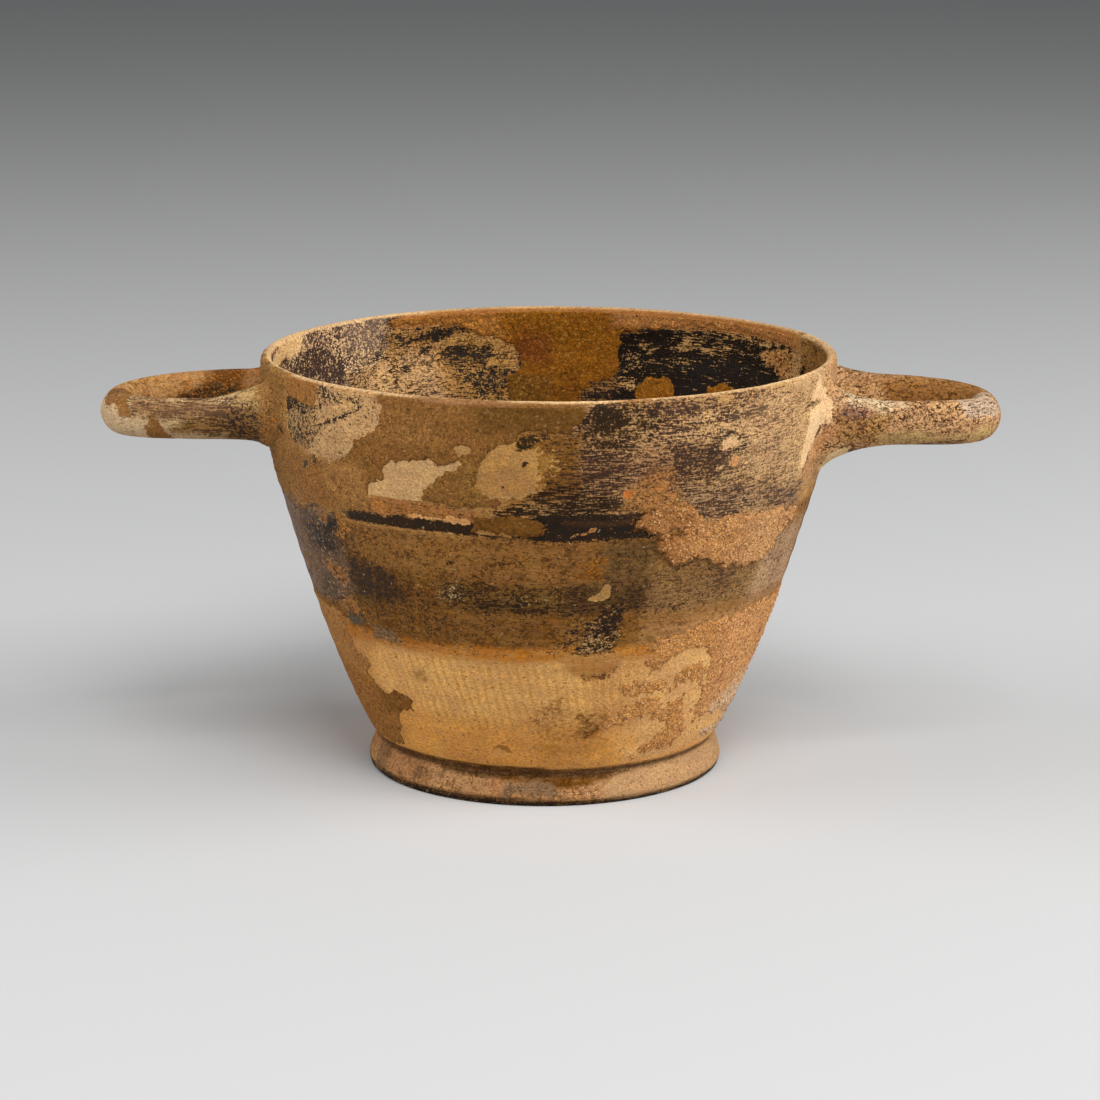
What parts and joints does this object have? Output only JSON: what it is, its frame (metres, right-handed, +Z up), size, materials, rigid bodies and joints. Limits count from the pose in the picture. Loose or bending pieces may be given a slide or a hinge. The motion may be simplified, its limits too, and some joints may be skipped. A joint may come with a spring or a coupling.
{
  "type": "skyphos",
  "caption": "Deep wheel-thrown fired-clay drinking cup with a low ring foot and two horizontal loop handles under the lip, worn dark slip and burial crust.",
  "frame": {"origin": "middle of the underside of the whole cup, on the plane that the foot stands on", "axes": "+X from the middle of the cup to the tip of one handle, +Y towards the back of the picture, +Z up"},
  "size_m": [0.1885, 0.1202, 0.0881],
  "materials": {
    "fired_clay": "unglazed buff clay with remains of a dark slip, matt crust in places"
  },
  "bodies": {
    "root": {"skyphos": "fired_clay"}
  },
  "joints": []
}
